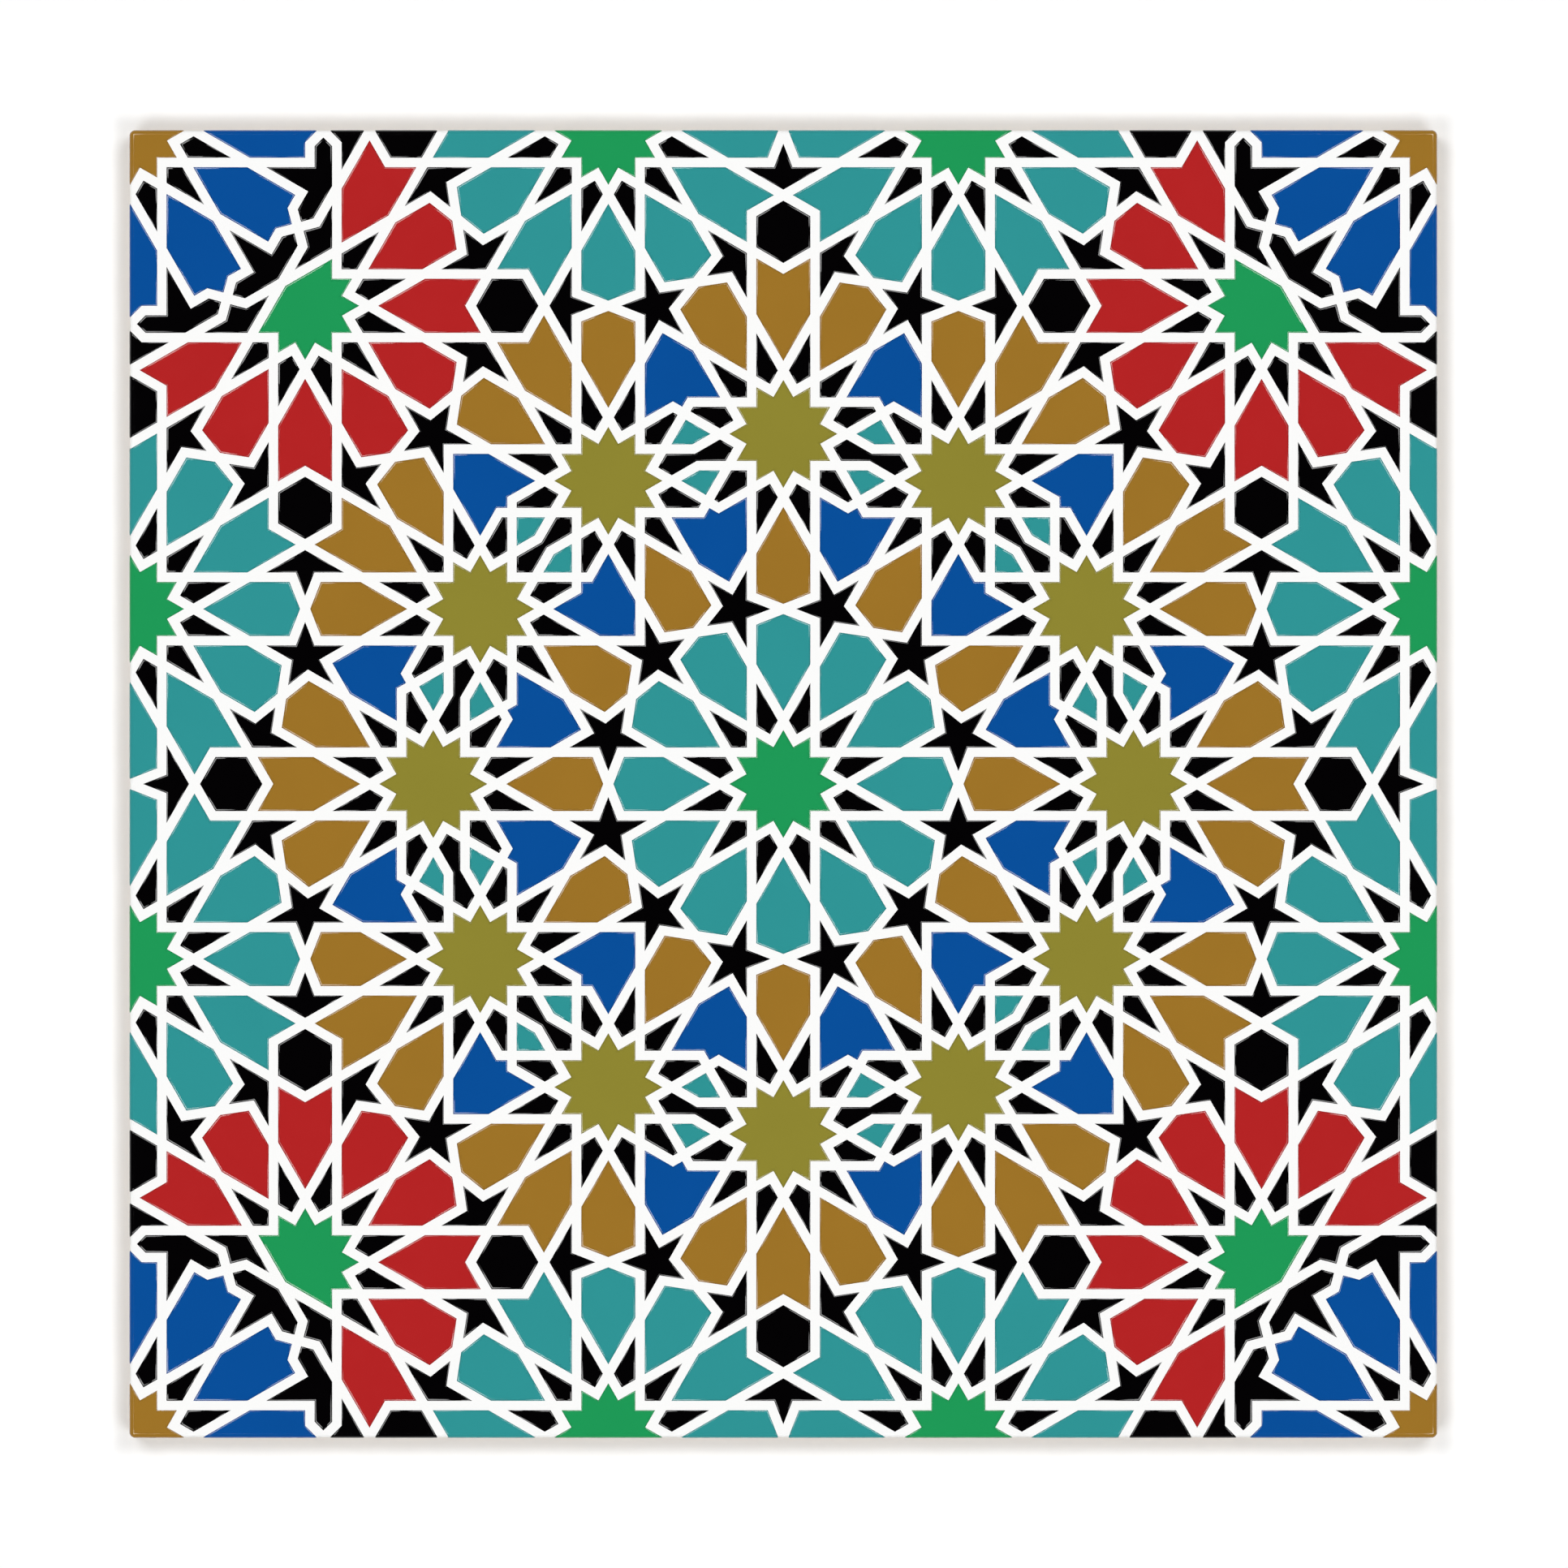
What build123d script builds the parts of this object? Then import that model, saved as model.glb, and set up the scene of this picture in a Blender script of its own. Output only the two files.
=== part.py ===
"""Square pressed wall tile: flat glazed face, rolled arris, drafted edge and a keyed back.

The tile lies on its back. The origin is the middle of the back, +Z points out of the glazed face,
and X and Y run along the edges. Lengths are in millimetres, angles in degrees.
"""

import os
from math import radians, tan

from build123d import *

# Driving dimensions of the body
tile_side = 200.0  # finished face, edge to edge
tile_thickness = 7.0  # bedding ribs to glazed face
corner_radius = 0.8  # corners in plan, as the press die leaves them
arris_radius = 0.5  # glaze rolled over the rim of the face
land_height = 4.0  # straight part of the edge, down from the face
edge_draft = 6.0  # lean of the edge under the land, so that the tile leaves the die

# Driving dimensions of the keyed back
key_rows = 6  # keying pockets along each side
key_depth = 0.9  # floor of a pocket above the bedding ribs
key_draft = 30.0  # lean of the pocket walls
key_corner = 2.0  # corners of a pocket in plan
rib_width = 3.0  # rib between two pockets
rim_width = 6.5  # plain rim around the field of pockets

# Sizes that follow from them
foot_height = tile_thickness - land_height
back_side = tile_side - 2 * foot_height * tan(radians(edge_draft))
field_side = back_side - 2 * rim_width
pocket_side = (field_side - (key_rows - 1) * rib_width) / key_rows
pocket_pitch = pocket_side + rib_width

with BuildPart() as tile:
    # Straight land under the face, and the drafted foot below it
    with BuildSketch(Plane.XY.offset(foot_height)) as outline:
        RectangleRounded(tile_side, tile_side, corner_radius)
    extrude(amount=land_height)
    extrude(outline.sketch, amount=-foot_height, taper=edge_draft)

    # Rolled arris all round the face
    fillet(tile.edges().group_by(Axis.Z)[-1], arris_radius)

    # Keying pockets pressed into the back, with ribs and a rim left standing between them
    with BuildSketch(Plane.XY):
        with GridLocations(pocket_pitch, pocket_pitch, key_rows, key_rows):
            RectangleRounded(pocket_side, pocket_side, key_corner)
    extrude(amount=key_depth, taper=key_draft, mode=Mode.SUBTRACT)

tile.part.label = "tile"

os.makedirs("parts", exist_ok=True)
export_step(tile.part, "parts/tile.step")
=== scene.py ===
"""Looks of a square glazed wall tile, laid out as a Blender add-on.

White tin glaze covers the face and runs over the edge of the pressed body. Seven coloured glazes lie on it
as the fields of a twelve-pointed star pattern, and the white shows between them as straps.
Lengths are in metres. Plan geometry is in complex numbers, real along X and imaginary along Y.
"""

import cmath
from math import asin, cos, degrees, radians, sin, sqrt, tan
from typing import NamedTuple

import bmesh
import bpy
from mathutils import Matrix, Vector
from mathutils.geometry import delaunay_2d_cdt


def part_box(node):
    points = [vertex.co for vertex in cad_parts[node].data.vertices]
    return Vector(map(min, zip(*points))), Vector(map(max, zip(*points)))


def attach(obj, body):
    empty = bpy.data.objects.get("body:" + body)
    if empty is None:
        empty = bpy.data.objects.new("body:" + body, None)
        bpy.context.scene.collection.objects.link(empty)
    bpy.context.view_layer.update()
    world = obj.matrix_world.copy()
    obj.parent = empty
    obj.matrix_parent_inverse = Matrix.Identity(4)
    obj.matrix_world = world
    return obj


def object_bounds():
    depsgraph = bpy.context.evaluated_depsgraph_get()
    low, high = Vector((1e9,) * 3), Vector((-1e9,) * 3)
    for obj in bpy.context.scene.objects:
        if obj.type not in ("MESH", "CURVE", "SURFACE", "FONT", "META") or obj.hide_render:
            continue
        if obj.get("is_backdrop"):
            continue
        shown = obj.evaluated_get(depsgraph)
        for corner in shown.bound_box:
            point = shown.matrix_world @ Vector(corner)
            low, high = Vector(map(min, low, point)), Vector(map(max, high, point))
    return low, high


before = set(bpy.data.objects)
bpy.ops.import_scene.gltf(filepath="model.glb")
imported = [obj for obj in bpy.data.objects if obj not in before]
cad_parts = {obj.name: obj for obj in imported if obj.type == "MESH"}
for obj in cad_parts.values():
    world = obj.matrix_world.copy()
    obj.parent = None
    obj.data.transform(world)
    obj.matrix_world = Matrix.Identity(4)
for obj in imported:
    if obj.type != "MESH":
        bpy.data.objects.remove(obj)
cad_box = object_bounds()

bl_info = {
    "name": "Strapwork wall tile",
    "version": (1, 0, 0),
    "blender": (4, 5, 0),
    "location": "View3D > Sidebar > Tile",
    "description": "Glazes a pressed wall tile with a pattern of stars and straps, and sets it on a stage",
    "category": "Object",
}

# A millimetre in the scene's metres
MM = 0.001

# Sizes that come from the frame
tile_low, tile_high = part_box("tile")
HALF_SIDE = (tile_high.x - tile_low.x) / 2
FACE_HEIGHT = tile_high.z

# Photograph's side, the tile's side in it and the column of the tile's middle,
# in pixels of the 1932 by 1932 frame
PHOTO_SIDE = 1932
TILE_IN_PHOTO = 1609.8
MIDDLE_IN_PHOTO = 965.2


# Settings that a user can change

def linear(code):
    """Linear colour of an sRGB hex code."""
    parts = [int(code[k:k + 2], 16) / 255 for k in (1, 3, 5)]
    return [p / 12.92 if p <= 0.04045 else ((p + 0.055) / 1.055) ** 2.4 for p in parts]


def size(name, description, millimetres):
    """A length, given in millimetres."""
    return bpy.props.FloatProperty(
        name=name, description=description, default=millimetres * MM, min=0.0,
        precision=5, subtype="DISTANCE", unit="LENGTH",
    )


def angle(name, description, default):
    """An angle, given in degrees."""
    return bpy.props.FloatProperty(
        name=name, description=description, default=radians(default),
        subtype="ANGLE", unit="ROTATION",
    )


def strength(name, description, default, unit="NONE"):
    """Strength of a light."""
    return bpy.props.FloatProperty(
        name=name, description=description, default=default, min=0.0, precision=3, unit=unit,
    )


def colour(name, description, code):
    """A colour, given as an sRGB hex code."""
    return bpy.props.FloatVectorProperty(
        name=name, description=description, default=linear(code), min=0.0, max=1.0, subtype="COLOR",
    )


class TilePattern(bpy.types.PropertyGroup):
    """Sizes of the straps and of the glaze fields between them"""

    strap_width: size("Strap width", "White left bare between two fields", 1.44)
    star_offset: size("Star offset", "From a star's centre to the lines along its petals", 4.86)
    tip_lean: angle("Tip lean", "Lean of a petal's blunt tip, where it meets the next star's petal", 21.4)
    corner_petal: size("Corner petal", "From the corner star's centre to the flat end of its petals", 27.52)
    field_height: size("Field height", "Coloured glaze above the white", 0.12)
    field_root: size("Field root", "Depth to which the coloured glaze melts into the white", 0.05)
    rim_width: size("Rim width", "Rounded rim of a field, where the glaze draws together", 0.3)
    edge_lap: size("Edge lap", "Coloured glaze that runs down the edge below the arris", 0.35)
    arris_radius: size("Arris radius", "Roll of the body's edge under the glaze", 0.5)
    corner_radius: size("Corner radius", "Corners of the body in plan", 0.8)


class TileColours(bpy.types.PropertyGroup):
    """Colours of the glazes and of the fired body"""

    turquoise: colour("Turquoise", "Copper in an alkaline glaze", "#2F9394")
    cobalt: colour("Cobalt", "Cobalt blue glaze", "#084E99")
    red: colour("Red", "Iron-bearing clay slip under clear glaze", "#B32223")
    ochre: colour("Ochre", "Iron and antimony yellow glaze", "#9C7227")
    olive: colour("Olive", "Chrome and iron glaze", "#8D8531")
    green: colour("Green", "Copper in a lead glaze", "#1E9856")
    black: colour("Black", "Manganese black glaze", "#020102")
    white: colour("White", "Tin-whitened glaze of the ground", "#FAFAF9")
    body: colour("Body", "Bare fired clay of the back and the foot of the edge", "#D3BC9C")


class TileStage(bpy.types.PropertyGroup):
    """Floor, lamps, room and camera"""

    floor_colour: colour("Floor", "White paper under the tile", "#FCFCFC")
    floor_side: size("Floor side", "Side of the paper, wide enough for a low camera", 16000)
    lamp_power: strength("Lamp power", "Power of each of the four lamps", 16.5, unit="POWER")
    lamp_side: size("Lamp side", "Side of each square lamp", 800)
    lamp_distance: size("Lamp distance", "From the tile to each lamp", 2400)
    lamp_height: angle("Lamp height", "Each lamp's height over the horizon", 65)
    backdrop_top: angle("Backdrop top", "Height over the horizon of the white backdrop behind the floor", 3)
    wall_light: strength("Wall light", "Brightness of the walls, seen in the glaze from low down", 0.12)
    wall_top: angle("Wall top", "Height over the horizon at which the walls end", 30)
    wall_blend: angle("Wall blend", "Softness of the walls' upper end", 2)
    ceiling_light: strength("Ceiling light", "Brightness of the ceiling that the face mirrors", 0.008)
    camera_distance: size("Camera distance", "From the glazed face to the camera", 2500)


# Plan geometry in complex numbers

def turn(angle_degrees):
    """Unit step in that direction."""
    return cmath.exp(1j * radians(angle_degrees))


def cross(u, v):
    """Cross product of two plane vectors."""
    return (u.conjugate() * v).imag


def crossing(p, u, q, v):
    """Point where the line through p along u crosses the line through q along v."""
    return p + u * cross(q - p, v) / cross(u, v)


def mirrored(line):
    """The line mirrored in the real axis."""
    return [z.conjugate() for z in line]


def both_sides(line):
    """The line and its mirror image in the real axis."""
    return [line, mirrored(line)]


def laid(lines, centre, heading):
    """Lines drawn along the real axis, turned to a heading and moved to a centre."""
    return [[centre + turn(heading) * z for z in line] for line in lines]


# The straps' centre lines

# The stars have twelve points, so their axes lie this many degrees apart
AXIS_STEP = 30


class Straps:
    """Centre lines of the straps, drawn for the axes of one star and laid out over the tile.

    Each star's lines run beside its axes, from the notches between its points outwards.
    """

    def __init__(self, sizes):
        self.offset = sizes.star_offset
        self.lean = sizes.tip_lean
        self.flat_end = sizes.corner_petal
        # Distance between two stars whose petals meet. Two such steps, the second turned by one axis,
        # lead from the middle of the tile to its edge
        self.gap = HALF_SIDE / (1 + cos(radians(AXIS_STEP)))
        self.notch = self.offset * (1 + 1j)

    def meeting_petal(self):
        """Petal that meets a petal of the next star half way, with a blunt tip."""
        shoulder = self.gap / 2 - self.offset * tan(self.lean)
        return both_sides([self.notch, shoulder + 1j * self.offset, self.gap / 2 + 0j])

    def fishtail_petal(self):
        """Petal that ends on the hexagon in the middle of three stars."""
        hexagon_reach = self.gap / sqrt(3) + self.offset * tan(radians(AXIS_STEP))
        return both_sides([self.notch, hexagon_reach + 1j * self.offset])

    def waist(self):
        """Lines between two neighbours of the ring, of which the other lies ahead on the real axis."""
        between = self.gap * sin(radians(AXIS_STEP / 2))
        halfway = (between, 1j)
        near = AXIS_STEP / 2
        far = near + AXIS_STEP

        def own(heading, side):
            """Start and direction of the line on one side of an axis."""
            return side * 1j * self.offset * turn(heading), turn(heading)

        def neighbours(heading, side):
            """The same line of the neighbour."""
            start, along = own(heading, side)
            return 2 * between - start.conjugate(), -along.conjugate()

        lines = []
        for heading, side, stop in (
            (near, 1, neighbours(far, -1)),
            (near, -1, halfway),
            (far, 1, halfway),
            (far, -1, neighbours(near, 1)),
        ):
            start, along = own(heading, side)
            lines += both_sides([start + self.offset * along, crossing(start, along, *stop)])
        return lines

    def swap(self, reach):
        """Flat end of a corner star's petal, crossing over to a line of the diagonal star at that reach."""
        half = (reach - self.flat_end) / 2
        return [self.flat_end + 1j * self.offset, self.flat_end + 1j * half, reach - 1j * half]

    def corner_star(self, corner, diagonal):
        """Lines of a corner star, and those in which they join the star on the diagonal beside it."""
        lines = []
        for heading in (0, 30, 60, 90):
            lines += laid(both_sides([self.notch, self.flat_end + 1j * self.offset]), corner, heading)

        # Along the tile's edges
        reach = self.gap / 2 + self.offset
        along_edge = both_sides(self.swap(reach) + [reach + 1j * (self.offset - self.gap / 2)])
        for heading in (0, 90):
            lines += laid(along_edge, corner, heading)

        # On both sides of the diagonal
        star = (diagonal - corner) / turn(60)
        reach = star.real - self.offset
        far_end = self.fishtail_petal()[0][-1].real
        inner = self.swap(reach) + [reach + 1j * (star.imag - self.offset)]
        outer = mirrored(self.swap(reach)) + [reach + 1j * (star.imag + far_end)]
        lines += laid([inner, outer], corner, 60)
        lines += laid([mirrored(inner), mirrored(outer)], corner, 30)
        return lines

    def rosette(self):
        """Lines of the middle star and of the ring of twelve around it."""
        lines = []
        for heading in range(0, 360, AXIS_STEP):
            lines += laid(self.meeting_petal(), 0, heading)

            # The ring's star in that direction, with its own headings counted from the inward one
            ring = self.gap * turn(heading)
            inward = heading + 180
            for side in (0, 150, -150):
                lines += laid(self.meeting_petal(), ring, inward + side)
            lines += laid(self.fishtail_petal(), ring, heading)
            for side in (75, -75):
                lines += laid(self.waist(), ring, inward + side)
        return lines

    def lower_left(self):
        """Lines of the lower left corner's stars: on the left edge, on the diagonal and in the corner."""
        corner = HALF_SIDE * (-1 - 1j)
        diagonal = corner + self.gap / 2 * (1 + 1j)
        edge = -HALF_SIDE - 1j * self.gap / 2
        lines = []
        for heading in (300, 0, 30, 90):
            lines += laid(self.meeting_petal(), edge, heading)
        for heading in (270, 330, 60):
            lines += laid(self.fishtail_petal(), edge, heading)

        for heading in (30, 60, 120, 330):
            lines += laid(self.meeting_petal(), diagonal, heading)
        for heading in (0, 90):
            lines += laid(self.fishtail_petal(), diagonal, heading)

        # The other side of these two petals comes from the corner star
        left_side, right_side = self.fishtail_petal()
        lines += laid([right_side], diagonal, 150)
        lines += laid([left_side], diagonal, 300)
        return lines + self.corner_star(corner, diagonal)

    def all_lines(self):
        """Every strap of the tile, running a little past its edges."""
        quarter = self.lower_left()
        # Mirrored in the left edge, and all of that in the diagonal
        quarter += [[-2 * HALF_SIDE - z.conjugate() for z in line] for line in quarter]
        quarter += [[1j * z.conjugate() for z in line] for line in quarter]
        lines = self.rosette()
        for heading in range(0, 360, 90):
            lines += laid(quarter, 0, heading)
        return lines


# Stars and the colours of their fields

RING_PETALS = ("ochre", "cobalt", "turquoise", "turquoise", "cobalt", "ochre", "ochre")

# How far from a star's centre the middles of its own field and of its petals lie at most, in star offsets
STAR_REACH = 1.5
PETAL_REACH = 5

# A corner star keeps a petal that lies up to this many times as far from it as from the diagonal star
CORNER_REACH = 1.25

# Taken off a number of steps before it is rounded, so that half steps go down
HALF_STEP_DOWN = 0.01


class Star(NamedTuple):
    """A star, its petals' colours and its reach beside that of other stars.

    The petals are listed by their angle from the inward heading, in steps of AXIS_STEP. Where that heading
    runs between two petals, the first of the list is half a step off it.
    """

    centre: complex
    colour: str
    petals: tuple
    inward: float
    reach: float = 1.0


def all_stars(gap):
    """The stars of the tile."""
    found = [Star(0, "green", ("turquoise",) * 7, 0)]
    for heading in range(0, 360, AXIS_STEP):
        found.append(Star(gap * turn(heading), "olive", RING_PETALS, heading + 180))
    for heading in range(0, 360, 90):
        corner = HALF_SIDE * (1 + 1j) * turn(heading)
        inward = heading + 225
        found.append(Star(corner, "ochre", ("cobalt",) * 7, inward, CORNER_REACH))
        diagonal = corner * (1 - gap / 2 / HALF_SIDE)
        found.append(Star(diagonal, "green", ("red",) * 4 + ("black",) * 3, inward))
        for side in (1, -1):
            edge = (HALF_SIDE + side * 1j * gap / 2) * turn(heading)
            found.append(Star(edge, "green", ("turquoise",) * 7, heading + 180))
    return found


def field_colour(middle, stars, offset):
    """Colour of the field with that middle point: a star's, its petal's, or black between the petals."""
    star = min(stars, key=lambda each: abs(middle - each.centre) / each.reach)
    distance = abs(middle - star.centre)
    if distance < STAR_REACH * offset:
        return star.colour
    heading = degrees(cmath.phase(middle - star.centre))
    off_axis = abs((heading + AXIS_STEP / 2) % AXIS_STEP - AXIS_STEP / 2)
    if distance > PETAL_REACH * offset or off_axis > AXIS_STEP / 4:
        return "black"
    from_inward = abs((heading - star.inward + 180) % 360 - 180)
    return star.petals[round(from_inward / AXIS_STEP - HALF_STEP_DOWN)]


# Fields between the straps

# Points are rounded to this many decimals of a metre, and those nearer than SNAP are then one point
SNAP_DIGITS = 7
SNAP = 0.001 * MM

# Sine of the angle below which two directions are one
PARALLEL = 1e-6

# Kind of triangulation that returns the cells between the crossed lines, and no triangles or holes
WHOLE_CELLS = 3


def edge_reach(z):
    """Distance from the middle, measured square to the tile's edges."""
    return max(abs(z.real), abs(z.imag))


def cells(lines, half):
    """Closed cells that the lines leave in a square of that half side, counter-clockwise."""
    square = [half * (1 + 1j) * turn(heading) for heading in range(0, 450, 90)]
    places = {}
    edges = set()
    for line in lines + [square]:
        keys = [(round(z.real, SNAP_DIGITS), round(z.imag, SNAP_DIGITS)) for z in line]
        ends = [places.setdefault(key, len(places)) for key in keys]
        edges.update((min(pair), max(pair)) for pair in zip(ends, ends[1:]) if pair[0] != pair[1])
    points, _, faces, *_ = delaunay_2d_cdt(
        [Vector(key) for key in places], sorted(edges), [], WHOLE_CELLS, SNAP,
    )
    points = [complex(*point) for point in points]
    loops = [[points[k] for k in face] for face in faces]
    return [loop for loop in loops if max(edge_reach(z) for z in loop) < half + SNAP]


def middle_of(loop):
    """Centroid of a closed loop."""
    pairs = list(zip(loop, loop[1:] + loop[:1]))
    areas = [cross(p, q) for p, q in pairs]
    return sum(area * (p + q) for area, (p, q) in zip(areas, pairs)) / (3 * sum(areas))


def inset(loop, margins):
    """The loop with each side moved in by its margin, or None where nothing is left.

    A side that shrinks to nothing is dropped, and its neighbours meet instead.
    """
    sides = []
    for p, q, margin in zip(loop, loop[1:] + loop[:1], margins):
        along = (q - p) / abs(q - p)
        if sides and abs(cross(sides[-1][1], along)) < PARALLEL:
            continue
        sides.append((p + 1j * along * margin, along))
    while len(sides) > 2:
        before = sides[-1:] + sides[:-1]
        if any(abs(cross(a[1], b[1])) < PARALLEL for a, b in zip(before, sides)):
            return None
        corners = [crossing(*a, *b) for a, b in zip(before, sides)]
        after = corners[1:] + corners[:1]
        lengths = [((q - p) / side[1]).real for p, q, side in zip(corners, after, sides)]
        shortest = min(range(len(sides)), key=lengths.__getitem__)
        if lengths[shortest] > 0:
            return corners
        del sides[shortest]
    return None


def field_outlines(lines, half, strap_width):
    """Middle and outline of each field: half a strap inside its cell, but out to the rim of the square."""
    for loop in cells(lines, half):
        margins = []
        for p, q in zip(loop, loop[1:] + loop[:1]):
            on_rim = min(edge_reach(p), edge_reach(q), edge_reach((p + q) / 2)) > half - SNAP
            margins.append(0.0 if on_rim else strap_width / 2)
        outline = inset(loop, margins)
        if outline:
            yield middle_of(loop), outline


# Meshes of the coloured fields

# Vertex layer that says how much the glaze is darkened, from 0 on the flat top to 1 at the outline.
# The darkening is painted shade of the sloping rim, and partly glaze that pooled thicker there.
RIM_SHADE_LAYER = "depth_of_colour"

# Angles in degrees that divide a quarter round
QUARTER_ROUND = (0, 30, 60, 90)

# Flat strip beside a quarter round that keeps the round's shading off the flat, as a share of its radius
FLAT_STRIP = 0.3

# A rim too wide for its field is narrowed by this factor until it fits
NARROWING = 0.8


def rim_rings(outline, width):
    """Margin, share of full height and darkening of the rim's rings.

    The rim is as wide as asked for or as the field allows. The colour is darkest at the outline: painted
    shade of the sloping rim, and partly glaze that draws together there. The last ring lies on the flat
    top.
    """
    last = 1 + FLAT_STRIP
    while len(inset(outline, [width * last] * len(outline)) or ()) < len(outline):
        width *= NARROWING
    rings = [(1 - cos(radians(rise)), sin(radians(rise))) for rise in QUARTER_ROUND]
    return [(width * margin, share, 1 - margin / last) for margin, share in rings + [(last, 1.0)]]


def add_field(mesh, outline, sizes):
    """Adds one closed field of glaze, flat on top with a rounded rim. Its heights are over the white."""
    # Each vertex carries the rim's painted shade, darkest at the outline
    shade_layer = mesh.verts.layers.float[RIM_SHADE_LAYER]
    profile = [(0.0, -sizes.field_root, 1.0)]
    for margin, share, rim_darkness in rim_rings(outline, sizes.rim_width):
        profile.append((margin, share * sizes.field_height, rim_darkness))
    rings = []
    for margin, height, rim_darkness in profile:
        ring = []
        for z in inset(outline, [margin] * len(outline)):
            vertex = mesh.verts.new((z.real, z.imag, height))
            vertex[shade_layer] = rim_darkness
            ring.append(vertex)
        rings.append(ring)
    for lower, upper in zip(rings, rings[1:]):
        for k in range(len(outline)):
            mesh.faces.new((lower[k - 1], lower[k], upper[k], upper[k - 1]))
    mesh.faces.new(rings[-1])
    mesh.faces.new(rings[0][::-1])


def cut_along_arris(mesh, sizes):
    """Cuts the fields just inside the arris and along its roll, so that they can bend there."""
    flat_end = HALF_SIDE - sizes.arris_radius
    reaches = [flat_end - FLAT_STRIP * sizes.arris_radius]
    reaches += [flat_end + sizes.arris_radius * sin(radians(roll)) for roll in QUARTER_ROUND]
    for reach in reaches:
        for direction in ((1, 0, 0), (-1, 0, 0), (0, 1, 0), (0, -1, 0)):
            parts = mesh.verts[:] + mesh.edges[:] + mesh.faces[:]
            bmesh.ops.bisect_plane(
                mesh, geom=parts, dist=SNAP, plane_co=Vector(direction) * reach, plane_no=direction,
            )


def bent_over_edge(point, sizes):
    """Place on the tile of a point that is given in plan and by its height over the white glaze."""
    core = HALF_SIDE - sizes.corner_radius
    anchor = Vector((min(max(point.x, -core), core), min(max(point.y, -core), core), 0))
    out = Vector((point.x, point.y, 0)) - anchor
    spread = max(abs(out.x), abs(out.y))
    flat = sizes.corner_radius - sizes.arris_radius
    rolled = max(spread - flat, 0)
    roll = asin(min(rolled / sizes.arris_radius, 1))
    drop = max(rolled - sizes.arris_radius, 0)
    radius = sizes.arris_radius + point.z
    place = anchor + out.normalized() * (min(spread, flat) + radius * sin(roll))
    place.z = FACE_HEIGHT - sizes.arris_radius + radius * cos(roll) - drop
    return place


def fields_mesh(outlines, sizes):
    """Mesh of all the fields of a colour, in their places on the tile."""
    mesh = bmesh.new()
    mesh.verts.layers.float.new(RIM_SHADE_LAYER)
    for outline in outlines:
        add_field(mesh, outline, sizes)
    # Faces with many corners are divided by their normals, so those come first
    mesh.normal_update()
    bmesh.ops.triangulate(mesh, faces=[face for face in mesh.faces if len(face.verts) > 4])
    cut_along_arris(mesh, sizes)
    for vertex in mesh.verts:
        vertex.co = bent_over_edge(vertex.co, sizes)
    for face in mesh.faces:
        face.smooth = True
    return mesh


# Materials

# Sockets of a Mix node for colours, by number because their names repeat
MIX_FACTOR = 0
MIX_A = 6
MIX_B = 7
MIX_COLOUR = 2

# A fired glaze is a glass, so all of them mirror alike, and the clay under them hardly at all
GLAZE_IOR = 1.5
WHITE_ROUGHNESS = 0.08
CLAY_ROUGHNESS = 0.9
PAPER_ROUGHNESS = 0.9

# Orange peel of the glazes, as the melt set, and sand in the clay
PEEL_SIZE = 3 * MM
PEEL_HEIGHT = 0.02 * MM
GRAIN_SIZE = 0.5 * MM
GRAIN_HEIGHT = 0.06 * MM

# Clouds of a coloured glaze, where it lay thicker or thinner, its rim darkened by painted shade and by
# pooled glaze, and the spread of its gloss
GLAZE_CLOUD = 12 * MM
RIM_SHADE = 0.8
GLOSS_SPREAD = 0.2

# Clouds of the clay, from dark to pale, and its large dark grains, which are the peaks of the sand's noise
CLAY_CLOUD = 25 * MM
CLAY_DARK = 0.85
CLAY_PALE = 1.12
GRAIN_SHADE = 0.55
GRAIN_PEAK_START = 0.62
GRAIN_PEAK_FULL = 0.72

# Ribs of the back, rubbed pale: the shade, how much of it shows, and how far up
RUB_SHADE = 1.15
RUB_SHARE = 0.6
RUB_HEIGHT = 0.3 * MM

# Lower end of the white glaze: its heights on the edge, its waves' length and the noise values they follow
GLAZE_END_LOW = 3.3 * MM
GLAZE_END_HIGH = 4.3 * MM
GLAZE_END_WAVE = 9 * MM
NOISE_LOW = 0.3
NOISE_HIGH = 0.7

# Width of the glaze's lip, how far up the glaze is thin, and how much of the clay it hides at its end
GLAZE_LIP = 0.15 * MM
THIN_GLAZE = 1.5 * MM
THIN_COVER = 0.8

# Distance at which the lamps' light on the floor has faded, in lamp distances
FADE_REACH = 1.5


class Glaze(NamedTuple):
    """A coloured glaze: its material's name, its roughness and how much its colour clouds"""

    material: str
    roughness: float
    mottle: float


GLAZES = {
    # Runny and clear, so smooth and even
    "turquoise": Glaze("alkaline_copper_glaze_flooded", 0.08, 0.03),
    "cobalt": Glaze("cobalt_glaze_flooded", 0.07, 0.04),
    "green": Glaze("copper_lead_glaze_flooded", 0.07, 0.03),
    # Full of iron, so stiffer, cloudier and a little less glossy
    "ochre": Glaze("iron_ochre_glaze_flooded", 0.09, 0.05),
    "olive": Glaze("chrome_iron_glaze_flooded", 0.09, 0.04),
    # An opaque slip under clear glaze, the least glossy of all
    "red": Glaze("iron_red_slip_under_clear_glaze", 0.11, 0.04),
    # Saturated with oxide, so dark all through and glassy
    "black": Glaze("manganese_black_glaze_flooded", 0.07, 0.02),
}


def add_node(tree, kind, inputs=None, **settings):
    """Adds a node with its settings, and sets or links its inputs."""
    made = tree.nodes.new(kind)
    for key, value in settings.items():
        setattr(made, key, value)
    for key, value in (inputs or {}).items():
        if isinstance(value, bpy.types.NodeSocket):
            tree.links.new(value, made.inputs[key])
        else:
            made.inputs[key].default_value = value
    return made


def new_material(name):
    """An empty material and its node tree."""
    material = bpy.data.materials.new(name)
    material.use_nodes = True
    material.node_tree.nodes.clear()
    return material, material.node_tree


def shade(base, factor=1.0):
    """A colour made darker or lighter, with alpha."""
    return [min(channel * factor, 1.0) for channel in base] + [1.0]


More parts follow.
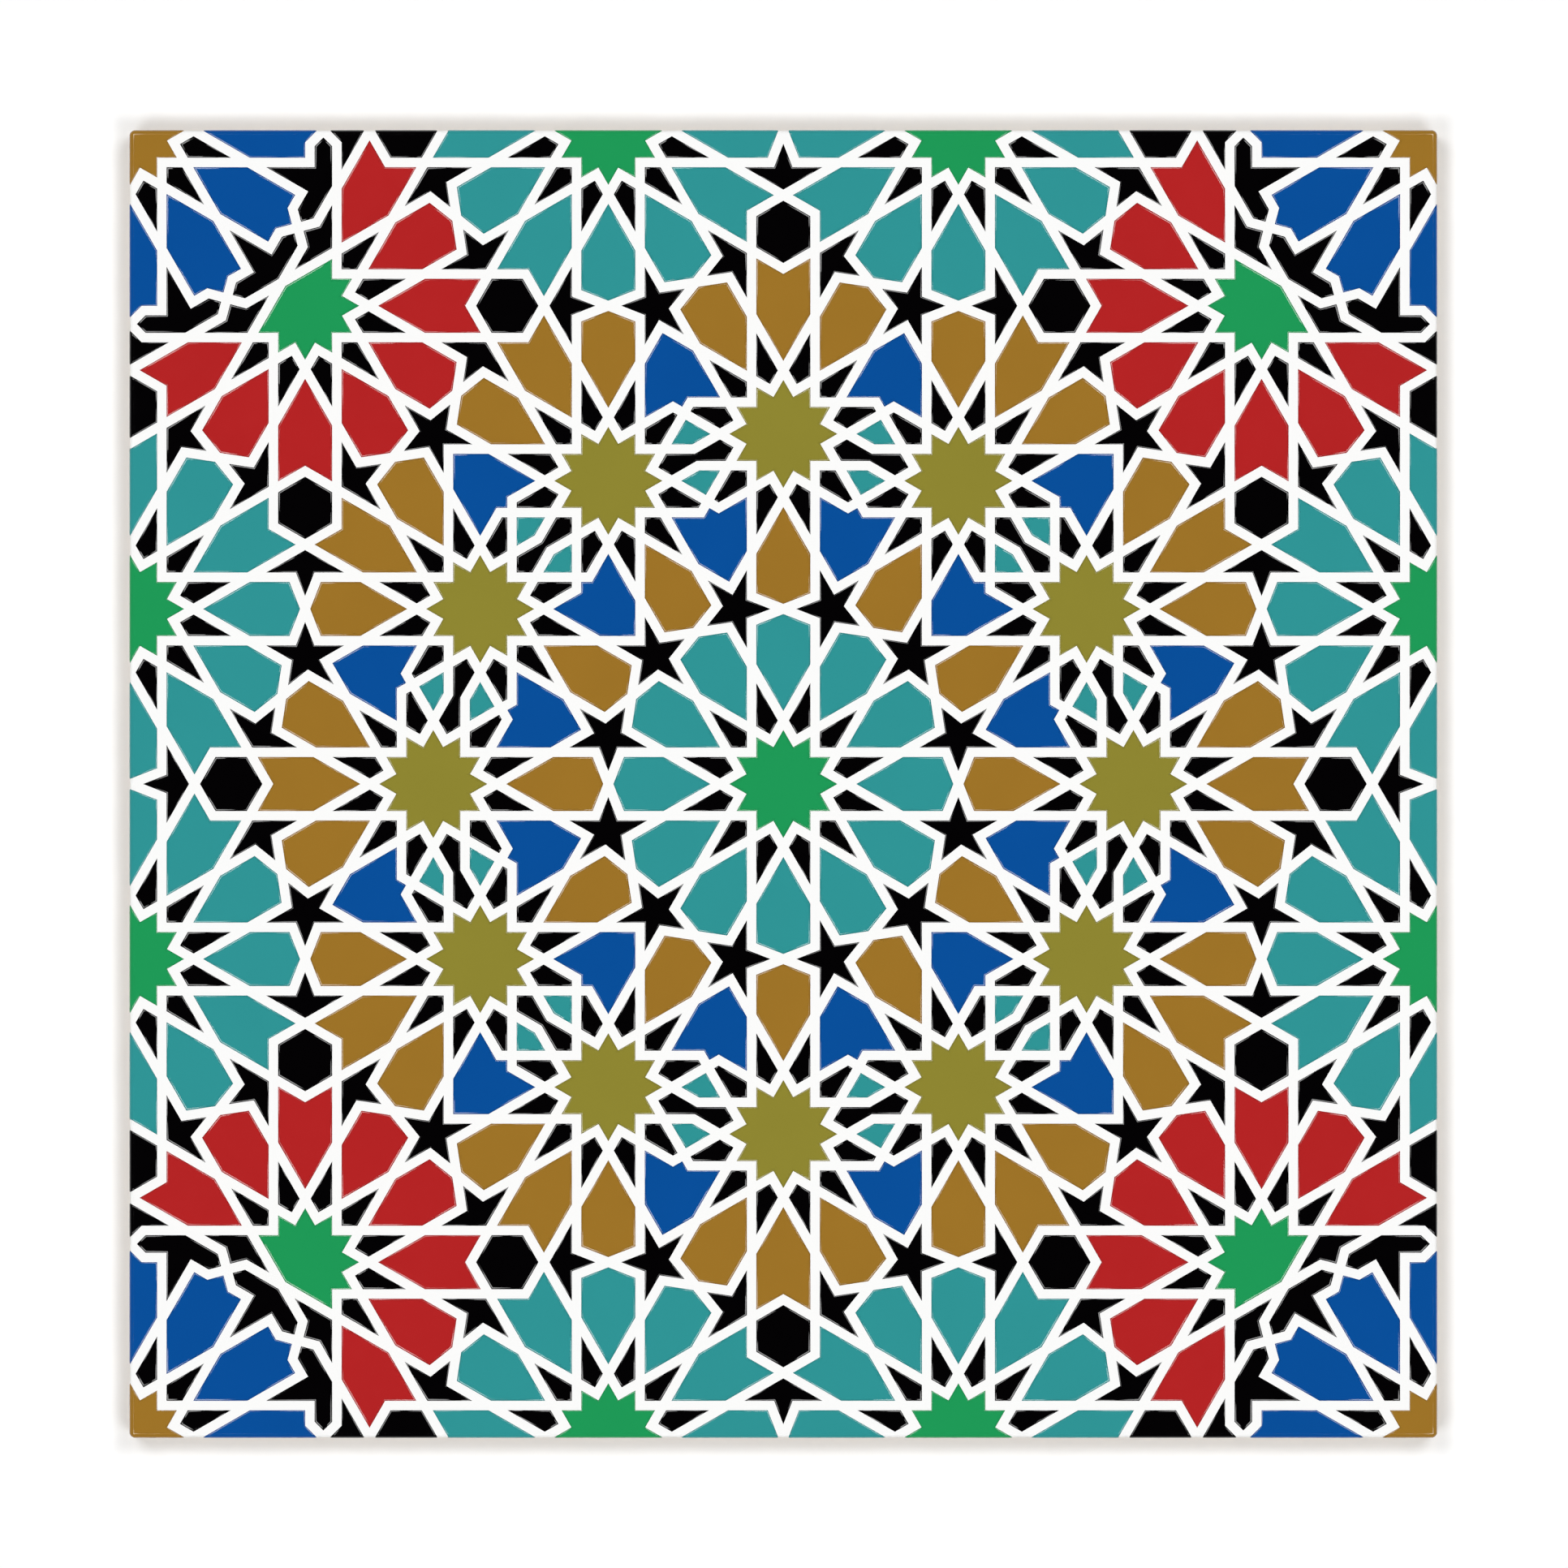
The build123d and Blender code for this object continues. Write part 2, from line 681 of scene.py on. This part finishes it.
def add_surface(tree, tint, roughness, relief, relief_height):
    """Ends a material of the tile in its surface."""
    bump = add_node(tree, "ShaderNodeBump", {"Height": relief, "Distance": relief_height})
    surface = add_node(
        tree, "ShaderNodeBsdfPrincipled",
        {"Base Color": tint, "Roughness": roughness, "Normal": bump.outputs["Normal"], "IOR": GLAZE_IOR},
    )
    add_node(tree, "ShaderNodeOutputMaterial", {"Surface": surface.outputs["BSDF"]})


def coloured_glaze(glaze, base):
    """Coloured glaze, flooded into its field and fired: glassy, a little cloudy, darker at the rim with
    painted shade and pooled glaze.
    """
    material, tree = new_material(glaze.material)
    places = add_node(tree, "ShaderNodeTexCoord").outputs["Object"]

    # Clouds, and over them the darker rim: painted shade of its slope, and partly glaze pooled there
    clouds = add_node(
        tree, "ShaderNodeTexNoise", {"Vector": places, "Scale": 1 / GLAZE_CLOUD, "Detail": 3.0},
    )
    cloudy = add_node(
        tree, "ShaderNodeMix",
        {
            MIX_FACTOR: clouds.outputs["Fac"],
            MIX_A: shade(base, 1 - glaze.mottle), MIX_B: shade(base, 1 + glaze.mottle),
        },
        data_type="RGBA",
    )
    rim_darkness = add_node(tree, "ShaderNodeAttribute", attribute_name=RIM_SHADE_LAYER)
    tint = add_node(
        tree, "ShaderNodeMix",
        {MIX_FACTOR: rim_darkness.outputs["Fac"], MIX_A: cloudy.outputs[MIX_COLOUR], MIX_B: shade(base, RIM_SHADE)},
        data_type="RGBA",
    )

    # Orange peel, which also varies the gloss
    peel = add_node(tree, "ShaderNodeTexNoise", {"Vector": places, "Scale": 1 / PEEL_SIZE, "Detail": 2.0})
    gloss = add_node(
        tree, "ShaderNodeMapRange",
        {
            "Value": peel.outputs["Fac"],
            "To Min": glaze.roughness * (1 - GLOSS_SPREAD), "To Max": glaze.roughness * (1 + GLOSS_SPREAD),
        },
    )
    add_surface(tree, tint.outputs[MIX_COLOUR], gloss.outputs["Result"], peel.outputs["Fac"], PEEL_HEIGHT)
    return material


def bare_clay(tree, places, height, base):
    """Colour and grain of bare fired clay."""
    # Clouds, rubbed pale on the ribs that the tile stood on in the kiln
    clouds = add_node(
        tree, "ShaderNodeTexNoise", {"Vector": places, "Scale": 1 / CLAY_CLOUD, "Detail": 4.0},
    )
    cloudy = add_node(
        tree, "ShaderNodeMix",
        {
            MIX_FACTOR: clouds.outputs["Fac"],
            MIX_A: shade(base, CLAY_DARK), MIX_B: shade(base, CLAY_PALE),
        },
        data_type="RGBA",
    )
    rub = add_node(
        tree, "ShaderNodeMapRange",
        {"Value": height, "From Min": 0.0, "From Max": RUB_HEIGHT, "To Min": RUB_SHARE, "To Max": 0.0},
    )
    rubbed = add_node(
        tree, "ShaderNodeMix",
        {
            MIX_FACTOR: rub.outputs["Result"],
            MIX_A: cloudy.outputs[MIX_COLOUR], MIX_B: shade(base, RUB_SHADE),
        },
        data_type="RGBA",
    )

    # Sand, the largest grains of it dark
    grains = add_node(
        tree, "ShaderNodeTexNoise", {"Vector": places, "Scale": 1 / GRAIN_SIZE, "Detail": 2.0},
    )
    large = add_node(
        tree, "ShaderNodeMapRange",
        {"Value": grains.outputs["Fac"], "From Min": GRAIN_PEAK_START, "From Max": GRAIN_PEAK_FULL},
    )
    speckled = add_node(
        tree, "ShaderNodeMix",
        {
            MIX_FACTOR: large.outputs["Result"],
            MIX_A: rubbed.outputs[MIX_COLOUR], MIX_B: shade(base, GRAIN_SHADE),
        },
        data_type="RGBA",
    )
    return speckled.outputs[MIX_COLOUR], grains.outputs["Fac"]


def height_over_glaze_end(tree, places, height):
    """Height over the lower end of the white glaze, which wavers round the edge."""
    waves = add_node(
        tree, "ShaderNodeTexNoise", {"Vector": places, "Scale": 1 / GLAZE_END_WAVE, "Detail": 2.0},
    )
    glaze_end = add_node(
        tree, "ShaderNodeMapRange",
        {
            "Value": waves.outputs["Fac"], "From Min": NOISE_LOW, "From Max": NOISE_HIGH,
            "To Min": GLAZE_END_LOW, "To Max": GLAZE_END_HIGH,
        },
    )
    above = add_node(
        tree, "ShaderNodeMath", {0: height, 1: glaze_end.outputs["Result"]}, operation="SUBTRACT",
    )
    return above.outputs["Value"]


def glazed_body(colours):
    """Pressed and fired clay, dipped face down in white tin glaze.

    The face is white and glassy, the back and the foot of the edge are bare clay: matt, sandy and cloudy.
    The glaze ends unevenly half way down the edge, and the clay shows a little where it runs thin there.
    """
    material, tree = new_material("tin_glaze_dipped_on_pressed_clay")
    places = add_node(tree, "ShaderNodeTexCoord").outputs["Object"]
    height = add_node(tree, "ShaderNodeSeparateXYZ", {"Vector": places}).outputs["Z"]
    clay, grains = bare_clay(tree, places, height, colours.body)

    # White over the clay, not quite hiding it where the glaze is thin
    above = height_over_glaze_end(tree, places, height)
    glazed = add_node(
        tree, "ShaderNodeMapRange", {"Value": above, "From Min": 0.0, "From Max": GLAZE_LIP},
    ).outputs["Result"]
    cover = add_node(
        tree, "ShaderNodeMapRange",
        {"Value": above, "From Min": 0.0, "From Max": THIN_GLAZE, "To Min": THIN_COVER, "To Max": 1.0},
    )
    white = add_node(
        tree, "ShaderNodeMix",
        {MIX_FACTOR: cover.outputs["Result"], MIX_A: clay, MIX_B: shade(colours.white)},
        data_type="RGBA",
    )
    tint = add_node(
        tree, "ShaderNodeMix",
        {MIX_FACTOR: glazed, MIX_A: clay, MIX_B: white.outputs[MIX_COLOUR]},
        data_type="RGBA",
    )

    # Gloss and relief: orange peel on the glaze, sand on the clay
    gloss = add_node(
        tree, "ShaderNodeMapRange", {"Value": glazed, "To Min": CLAY_ROUGHNESS, "To Max": WHITE_ROUGHNESS},
    )
    peel = add_node(tree, "ShaderNodeTexNoise", {"Vector": places, "Scale": 1 / PEEL_SIZE, "Detail": 2.0})
    relief = add_node(
        tree, "ShaderNodeMix", {"Factor": glazed, "A": grains, "B": peel.outputs["Fac"]}, data_type="FLOAT",
    )
    relief_height = add_node(
        tree, "ShaderNodeMapRange", {"Value": glazed, "To Min": GRAIN_HEIGHT, "To Max": PEEL_HEIGHT},
    )
    add_surface(
        tree, tint.outputs[MIX_COLOUR], gloss.outputs["Result"],
        relief.outputs["Result"], relief_height.outputs["Result"],
    )
    return material


def floor_paper(stage):
    """White paper board, pressed smooth but uncoated: matt, with no gloss of its own."""
    material, tree = new_material("uncoated_paper_board")

    # Away from the tile the four lamps fade, and light from the paper itself makes up for them
    places = add_node(tree, "ShaderNodeTexCoord").outputs["Object"]
    away = add_node(tree, "ShaderNodeVectorMath", {"Vector": places}, operation="LENGTH")
    own_light = add_node(
        tree, "ShaderNodeMapRange",
        {
            "Value": away.outputs["Value"],
            "From Min": HALF_SIDE, "From Max": FADE_REACH * stage.lamp_distance,
        },
        interpolation_type="SMOOTHSTEP",
    )
    white = shade(stage.floor_colour)
    surface = add_node(
        tree, "ShaderNodeBsdfPrincipled",
        {
            "Base Color": white, "Roughness": PAPER_ROUGHNESS, "Specular IOR Level": 0.0,
            "Emission Color": white, "Emission Strength": own_light.outputs["Result"],
        },
    )
    add_node(tree, "ShaderNodeOutputMaterial", {"Surface": surface.outputs["BSDF"]})
    return material


# Objects and the stage

def add_object(name, data):
    """A new object in the scene."""
    made = bpy.data.objects.new(name, data)
    bpy.context.scene.collection.objects.link(made)
    return made


def mesh_object(name, mesh, material):
    """A new object in the scene, made from a mesh that is then freed."""
    data = bpy.data.meshes.new(name)
    mesh.to_mesh(data)
    mesh.free()
    data.materials.append(material)
    return add_object(name, data)


def add_floor(stage):
    """Square of paper under the tile."""
    mesh = bmesh.new()
    bmesh.ops.create_grid(mesh, x_segments=1, y_segments=1, size=stage.floor_side / 2)
    mesh_object("floor", mesh, floor_paper(stage))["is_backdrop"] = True


def add_lamps(stage):
    """Four square lamps around the tile, each facing it."""
    for heading in range(45, 360, 90):
        data = bpy.data.lights.new(f"lamp_{heading}", "AREA")
        data.shape = "SQUARE"
        data.size = stage.lamp_side
        data.energy = stage.lamp_power
        lamp = add_object(data.name, data)
        level = stage.lamp_distance * cos(stage.lamp_height) * turn(heading)
        lamp.location = (level.real, level.imag, stage.lamp_distance * sin(stage.lamp_height))
        lamp.rotation_euler = lamp.location.to_track_quat("Z", "Y").to_euler()


def add_camera(stage):
    """Long lens straight above the middle, at the photograph's scale and framing."""
    data = bpy.data.cameras.new("camera")
    view_side = 2 * HALF_SIDE * PHOTO_SIDE / TILE_IN_PHOTO
    data.lens = data.sensor_width * stage.camera_distance / view_side
    data.shift_x = 0.5 - MIDDLE_IN_PHOTO / PHOTO_SIDE
    camera = add_object("camera", data)
    camera.location.z = FACE_HEIGHT + stage.camera_distance
    return camera


def new_room(stage):
    """White backdrop at the horizon, grey walls, and a dim ceiling that the face mirrors from above."""
    world = bpy.data.worlds.new("room")
    world.use_nodes = True
    tree = world.node_tree
    tree.nodes.clear()
    places = add_node(tree, "ShaderNodeTexCoord").outputs["Generated"]
    height = add_node(tree, "ShaderNodeSeparateXYZ", {"Vector": places}).outputs["Z"]
    backdrop = add_node(
        tree, "ShaderNodeMapRange",
        {
            "Value": height,
            "From Min": sin(stage.backdrop_top), "From Max": sin(2 * stage.backdrop_top),
            "To Min": 1.0, "To Max": 0.0,
        },
    )
    walls = add_node(
        tree, "ShaderNodeMapRange",
        {
            "Value": height,
            "From Min": sin(stage.wall_top - stage.wall_blend),
            "From Max": sin(stage.wall_top + stage.wall_blend),
            "To Min": stage.wall_light, "To Max": stage.ceiling_light,
        },
        interpolation_type="SMOOTHSTEP",
    )
    brightness = add_node(
        tree, "ShaderNodeMath", {0: backdrop.outputs["Result"], 1: walls.outputs["Result"]},
        operation="MAXIMUM",
    )
    light = add_node(
        tree, "ShaderNodeBackground",
        {"Color": (1.0, 1.0, 1.0, 1.0), "Strength": brightness.outputs["Value"]},
    )
    add_node(tree, "ShaderNodeOutputWorld", {"Surface": light.outputs["Background"]})
    return world


# Operators

class TILE_OT_glaze_body(bpy.types.Operator):
    """Covers the pressed body in white tin glaze, with bare clay on the back and the foot of the edge"""

    bl_idname = "tile.glaze_body"
    bl_label = "Glaze the body"

    def execute(self, context):
        """Gives the body its material."""
        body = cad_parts["tile"]
        if not body.material_slots:
            raise RuntimeError("The body has no material slot to glaze")
        material = glazed_body(context.scene.tile_colours)
        for slot in body.material_slots:
            slot.material = material
        return {"FINISHED"}


class TILE_OT_lay_fields(bpy.types.Operator):
    """Lays the fields of coloured glaze between the straps, one object for each colour"""

    bl_idname = "tile.lay_fields"
    bl_label = "Lay the coloured fields"

    def execute(self, context):
        """Sorts the fields by colour and makes a piece of each colour."""
        scene = context.scene
        sizes = scene.tile_pattern
        straps = Straps(sizes)
        stars = all_stars(straps.gap)
        outlines = {key: [] for key in GLAZES}

        # The square in which they are drawn is larger than the face by the lap that runs down the edge
        half = HALF_SIDE + sizes.edge_lap
        for middle, outline in field_outlines(straps.all_lines(), half, sizes.strap_width):
            outlines[field_colour(middle, stars, sizes.star_offset)].append(outline)
        for key, glaze in GLAZES.items():
            if not outlines[key]:
                raise RuntimeError(f"The pattern has no {key} fields")
            material = coloured_glaze(glaze, getattr(scene.tile_colours, key))
            piece = mesh_object(f"{key}_fields", fields_mesh(outlines[key], sizes), material)
            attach(piece, "root")
        return {"FINISHED"}


class TILE_OT_set_stage(bpy.types.Operator):
    """Sets the tile on white paper between four soft lamps, under a camera that looks straight down"""

    bl_idname = "tile.set_stage"
    bl_label = "Set the stage"

    def execute(self, context):
        """Adds the floor, the lamps, the camera and the room."""
        scene = context.scene
        stage = scene.tile_stage
        add_floor(stage)
        add_lamps(stage)
        scene.camera = add_camera(stage)
        scene.world = new_room(stage)
        scene.view_settings.view_transform = "Standard"
        return {"FINISHED"}


GROUPS = {"tile_pattern": TilePattern, "tile_colours": TileColours, "tile_stage": TileStage}
OPERATORS = (TILE_OT_glaze_body, TILE_OT_lay_fields, TILE_OT_set_stage)


class TILE_PT_sidebar(bpy.types.Panel):
    """Settings of the tile and the steps that make it"""

    bl_idname = "TILE_PT_sidebar"
    bl_label = "Strapwork tile"
    bl_space_type = "VIEW_3D"
    bl_region_type = "UI"
    bl_category = "Tile"

    def draw(self, context):
        """Lists each group of settings in a box, and then the operators."""
        for key, group in GROUPS.items():
            box = self.layout.box()
            for setting in group.__annotations__:
                box.prop(getattr(context.scene, key), setting)
        for operator in OPERATORS:
            self.layout.operator(operator.bl_idname)


def register():
    """Adds the settings, the operators and the panel to Blender."""
    for key, group in GROUPS.items():
        bpy.utils.register_class(group)
        setattr(bpy.types.Scene, key, bpy.props.PointerProperty(type=group))
    for item in (*OPERATORS, TILE_PT_sidebar):
        bpy.utils.register_class(item)


def unregister():
    """Takes them out again."""
    for item in (TILE_PT_sidebar, *reversed(OPERATORS)):
        bpy.utils.unregister_class(item)
    for key, group in GROUPS.items():
        delattr(bpy.types.Scene, key)
        bpy.utils.unregister_class(group)


def main():
    """Makes the tile on its stage."""
    register()
    bpy.ops.tile.glaze_body()
    bpy.ops.tile.lay_fields()
    bpy.ops.tile.set_stage()
    boxes = {"cad": cad_box, "visual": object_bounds()}
    {key: [list(corner) for corner in box] for key, box in boxes.items()}


if __name__ == "__main__":
    main()
